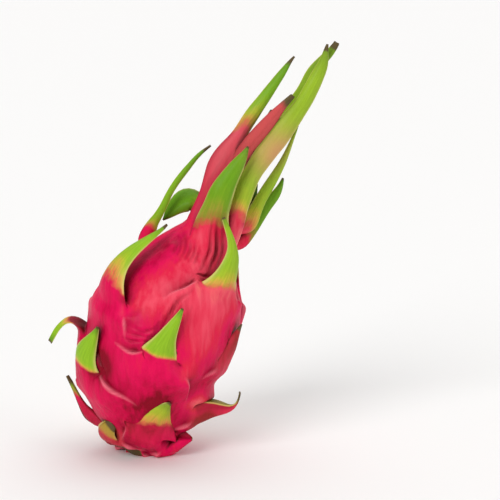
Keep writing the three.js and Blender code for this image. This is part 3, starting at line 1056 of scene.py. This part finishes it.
outwards = read(mesh.vertex_normals, "vector", 3)
sideways = np.cross(outwards, ANY_WAY)
sideways /= np.linalg.norm(sideways, axis=1)[:, None]
ahead = np.cross(outwards, sideways)
starts = (places + outwards * COVER_START).tolist()
whole = BVHTree.FromPolygons(places.tolist(), [list(face.vertices) for face in mesh.polygons])
covered = np.zeros(len(places))
for line in range(COVER_LINES + 1):
    turned, tilt = 2 * math.pi * line / COVER_LINES, COVER_TILT if line < COVER_LINES else 0
    spread = sideways * math.cos(turned) + ahead * math.sin(turned)
    ways = outwards * math.cos(tilt) + spread * math.sin(tilt)
    for number, (start, way) in enumerate(zip(starts, ways.tolist())):
        distance = whole.ray_cast(start, way, COVER_REACH)[3]
        if distance is not None:
            covered[number] += 1 - distance / COVER_REACH
# painted shade: the more covered a point is, the deeper its red and the darker its green
shade = covered / (COVER_LINES + 1)
put("shade", shade)
print("most covered:", shade.max().round(2))


def spot(middle, radius):
    """How much each point belongs to a round spot, which fades out from its middle."""
    return bell(np.linalg.norm(places - middle, axis=1), radius)


put("pale", sum(paler * spot(middle, radius) for middle, radius, paler in SPOTS.values()))
put("blush", spot(*BLUSH) * (1 - body))
print("spots:", len(SPOTS), "and a blush")

# %% [markdown]
# ## The rind: a leathery skin with a thin wax bloom
# The rind is living leaf tissue, dyed red by betalain and covered by a thin natural wax. The red
# isn't even: it is magenta low down and on the left, paler coral higher up and to the right, and
# dusty up in the crown, where the leaf is thin and dries first. Painted shade deepens it to
# crimson in the folds and behind the bracts, and painted highlights make it paler where the lights
# shine.
# A flat colour would look like painted plastic, so the red is mixed from large patches and from
# fine streaks that run along the fruit, as its fibres do.

# %% The rind: its red
MIX_FACTOR, MIX_FIRST, MIX_SECOND, MIX_RESULT = 0, 6, 7, 2  # sockets of a Mix node for colours
FRUIT_LEAN = math.radians(-18)  # the fibres run along the leaning fruit
PATCH_SIZE = 30  # mm across a patch of paler or deeper red
STREAK_WIDTH = 3.2  # mm across a streak
STREAK_STRETCH = 0.14  # width of a streak over its length
PALER = (("Z", 50, 115, 0.2), ("X", -20, 40, 0.3))  # axis, from and to, mm, and how much
PALE_SHARES = {"pale": 1.0, "inner": -0.3, "patches": 0.5, "streaks": 0.65}  # what else adds
RED_RANGE = 0.3, 1.45  # sums of all these at the two ends of the red colours
CROWN_RANGE = 128 * MM, 165 * MM  # the height over which the red turns dusty
MARGIN_RANGE = 0.35, 0.95  # way across, squared, over which a margin turns deep red
RAMPS = {  # colours, and where each lies between the two ends
    "red": [(0.0, "#86001E"), (0.2, "#C0003E"), (0.42, "#DC0550"), (0.62, "#DC2244"),
            (0.82, "#E84A60"), (1.0, "#F06C6C")],
    "green": [(0.0, "#E23A4E"), (0.2, "#E2704E"), (0.36, "#DEA04E"), (0.5, "#C4BA3A"),
              (0.68, "#A2BE2C"), (1.0, "#90BC28")],
}
RED_TINTS = (  # what tints the red, how strongly, and with which colour
    # painted shade in folds, creases, covered skin; pale crests: partly paler skin, partly painted
    # highlight
    ("valley_shade", 0.95, "#7A001C"), ("shade", 2.2, "#64000C"), ("crest_tone_and_highlight", 0.85, "#F27C8C"),
    # a margin's deep red is partly darker margin skin and partly painted shade where bracts meet
    ("crown", 0.6, "#C85C60"), ("warm", 0.5, "#B4503E"), ("margin", 0.6, "#8C1428"),
)

rind = bpy.data.materials.new("waxy dragon fruit rind")
rind.use_nodes = True
nodes = rind.node_tree
shader = nodes.nodes["Principled BSDF"]


def add_node(kind, values=(), output=0, **settings):
    """Adds a node to the rind and returns one of its outputs. Settings are its own properties.
    Values go into its input sockets, in order or by name or number. A value that is an output
    of another node is linked, and any other is set."""
    node = nodes.nodes.new("ShaderNode" + kind)
    for name, setting in settings.items():
        setattr(node, name, setting)
    for key, value in values.items() if isinstance(values, dict) else enumerate(values):
        if isinstance(value, bpy.types.NodeSocket):
            nodes.links.new(value, node.inputs[key])
        else:
            node.inputs[key].default_value = value
    return node.outputs[output]


layer = {
    name: add_node("Attribute", output="Fac", attribute_name=name)
    for name in (*LAYERS, "crest_tone_and_highlight", "valley_shade", "shade", "pale", "blush")
    if name != "blade"  # that one served the shape
}
position = add_node("TexCoord", output="Object")
place = add_node("SeparateXYZ", [position]).node.outputs
fibre = {"Vector": position, "Rotation": (0, FRUIT_LEAN, 0), "Scale": (1, 1, STREAK_STRETCH)}
for name, where, size, detail in (
    ("patches", position, PATCH_SIZE, 2.0),
    ("streaks", add_node("Mapping", fibre), STREAK_WIDTH, 5.0),
):
    values = {"Vector": where, "Scale": 1 / (size * MM), "Detail": detail}
    layer[name] = add_node("TexNoise", values)
paleness, rightwards = [
    add_node("MapRange", (place[axis], low * MM, high * MM, 0, most))
    for axis, low, high, most in PALER
]
for part, share in [(rightwards, 1.0), *[(layer[name], n) for name, n in PALE_SHARES.items()]]:
    paleness = add_node("Math", (part, share, paleness), operation="MULTIPLY_ADD")

ramps = {}
for name, stops in RAMPS.items():
    ramps[name] = add_node("ValToRGB").node
    ends = ramps[name].color_ramp.elements
    ends.remove(ends[1])
    ends[0].position, ends[0].color = stops[0][0], colour(stops[0][1])
    for stop, hex_value in stops[1:]:
        ends.new(stop).color = colour(hex_value)
nodes.links.new(add_node("MapRange", (paleness, *RED_RANGE)), ramps["red"].inputs["Fac"])

margin = add_node("Math", (layer["across"], 2.0), operation="POWER")
layer["margin"] = add_node("MapRange", (margin, *MARGIN_RANGE))
layer["crown"] = add_node("MapRange", (place["Z"], *CROWN_RANGE))
red = ramps["red"].outputs["Color"]
for part, strength, hex_value in RED_TINTS:
    amount = add_node("Math", (layer[part], strength), operation="MULTIPLY", use_clamp=True)
    sockets = {MIX_FACTOR: amount, MIX_FIRST: red, MIX_SECOND: colour(hex_value)}
    red = add_node("Mix", sockets, MIX_RESULT, data_type="RGBA")
print("red skin:", len(nodes.nodes), "nodes")

# %% [markdown]
# ## The rind: its green
# Away from the body the red pigment fades, and the green of the leaf shows: first a warm yellow,
# then full green. The margins turn sooner than the middle, and the change is a little ragged. Fine
# veins run along each bract, so their pattern is laid on its own width and length.

# %% The rind: its green
VEINS_ACROSS = 5  # veins from the middle of a bract to its margin
VEIN_LENGTH = 18  # mm that a vein runs before it fades
VEIN_SCALE = 1.6  # how fine the noise is, counted on the veins
VEIN_RANGE = 0.35, 0.7, 0, 0.55  # noise where a vein starts and is full, and how strong it is
TIP_RANGE = 6.0, 1.0, 0, 0.75  # the same near a tip, counted in lengths of its withered part
MARGIN_LEAD = 1.0  # how much sooner the margins turn
RAGGED, RAGGED_SIZE = 1.6, 5  # how uneven the change is, and mm between uneven places
TURN_FROM, TURN_TO = -1.2, 2.2  # where the change starts and ends, in lengths of its softness
GREEN_TINTS = (  # what tints the green, how strongly, and with which colour
    ("warm", 0.75, "#BC8040"), ("warm", -0.9, "#4A8410"), ("blush", 0.85, "#CE8E68"),
    # painted shade: the covered parts of a bract's green turn a dark olive
    ("shade", 1.6, "#41590C"),
)

ragged = add_node(
    "TexNoise", {"Vector": position, "Scale": 1 / (RAGGED_SIZE * MM), "Detail": 4.0}
)
outer = add_node("Math", (layer["inner"], 1.0), operation="SUBTRACT")
lag = add_node("Math", (outer, layer["lag"]), operation="MULTIPLY")
turned = layer["turn"]
for part, share in ((lag, 1.0), (margin, MARGIN_LEAD), (ragged, RAGGED)):
    turned = add_node("Math", (part, share, turned), operation="MULTIPLY_ADD")
usual = 0.5 * RAGGED  # what the ragged noise adds on average
greenness = add_node("MapRange", (turned, usual + TURN_FROM, usual + TURN_TO))
nodes.links.new(greenness, ramps["green"].inputs["Fac"])

width_share = add_node("Math", (layer["across"], VEINS_ACROSS), operation="MULTIPLY")
length_share = add_node("Math", (layer["along"], VEIN_LENGTH), operation="DIVIDE")
on_bract = add_node("CombineXYZ", (width_share, length_share, layer["warm"]))
veins = add_node("TexNoise", {"Vector": on_bract, "Scale": VEIN_SCALE, "Detail": 4.0})
tints = [
    (add_node("MapRange", (veins, *VEIN_RANGE)), "#769E1C"),
    (add_node("MapRange", (layer["wither"], *TIP_RANGE)), "#5E8E22"),
]
for part, strength, hex_value in GREEN_TINTS:
    tints.append((add_node("Math", (layer[part], strength), operation="MULTIPLY"), hex_value))
green = ramps["green"].outputs["Color"]
for amount, hex_value in tints:
    sockets = {MIX_FACTOR: amount, MIX_FIRST: green, MIX_SECOND: colour(hex_value)}
    green = add_node("Mix", sockets, MIX_RESULT, data_type="RGBA")
print("green bracts:", len(nodes.nodes), "nodes")

# %% [markdown]
# ## The rind: margins, tips and wax
# A bract's margin is thin and dry, so it is paler than the rest, and its tip withers to a grey
# brown. The wax gives the whole rind a soft, wide shine, from a thin and fairly smooth coat over
# a nearly matt skin. The grain of the skin is finer than the mesh, so bump makes it.

# %% The rind: margins, tips and wax
LEAFY_RANGE = 0.02, 0.25  # shares of the change over which the green hides the red
EDGE_THIN, EDGE_PALE = 4.0, 0.6  # how narrow a green bract's pale edge is, and how pale
DRY_RAGGED = 0.8  # how uneven the withered part's end is
DRY_RANGE = 1.5, 1.0  # where the withered part starts and is full
ROUGH_RANGE = 0.3, 0.7, 0.4, 0.52  # two values of the streaks, and the roughness at each
DRY_ROUGHER = 0.35  # what withering adds to it
GRAIN_SIZE, GRAIN_SHARE = 1.6, 0.3  # mm across a grain, and its height over a streak's
BUMP, BUMP_HEIGHT = 0.7, 0.8 * MM  # how much the relief shows, and how high it is

leafy = add_node("MapRange", (greenness, *LEAFY_RANGE))
edge = add_node("Math", (layer["margin"], leafy), operation="MULTIPLY")
edge = add_node("Math", (edge, EDGE_THIN), operation="POWER")
edge = add_node("Math", (edge, EDGE_PALE), operation="MULTIPLY")
dry = add_node("Math", (ragged, DRY_RAGGED, layer["wither"]), operation="MULTIPLY_ADD")
dry = add_node("MapRange", (dry, *DRY_RANGE))
tinted = red
for amount, second in ((leafy, green), (edge, colour("#D9C47A")), (dry, colour("#5C4E32"))):
    sockets = {MIX_FACTOR: amount, MIX_FIRST: tinted, MIX_SECOND: second}
    tinted = add_node("Mix", sockets, MIX_RESULT, data_type="RGBA")
roughness = add_node("MapRange", (layer["streaks"], *ROUGH_RANGE))
roughness = add_node("Math", (dry, DRY_ROUGHER, roughness), operation="MULTIPLY_ADD")
grain = add_node("TexNoise", {"Vector": position, "Scale": 1 / (GRAIN_SIZE * MM), "Detail": 3.0})
relief = add_node("Math", (grain, GRAIN_SHARE, layer["streaks"]), operation="MULTIPLY_ADD")
bump = add_node("Bump", {"Height": relief, "Strength": BUMP, "Distance": BUMP_HEIGHT})

nodes.links.new(tinted, shader.inputs["Base Color"])
nodes.links.new(roughness, shader.inputs["Roughness"])
nodes.links.new(bump, shader.inputs["Normal"])
shader.inputs["Specular IOR Level"].default_value = 0.06
shader.inputs["Coat Weight"].default_value = 0.08
shader.inputs["Coat Roughness"].default_value = 0.3
fruit.data.materials.append(rind)
print("rind material:", len(nodes.nodes), "nodes")

# %% [markdown]
# ## Hand over
# The fruit is one piece that rides on the frame's root, in place of the plain shape of that name.
# Its box should be about as large as the frame's.

# %% Hand over
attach(fruit, "root")
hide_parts("dragon_fruit")
low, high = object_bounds()
print("visual box, mm:", [round(v / MM, 1) for v in (*low, *high)])
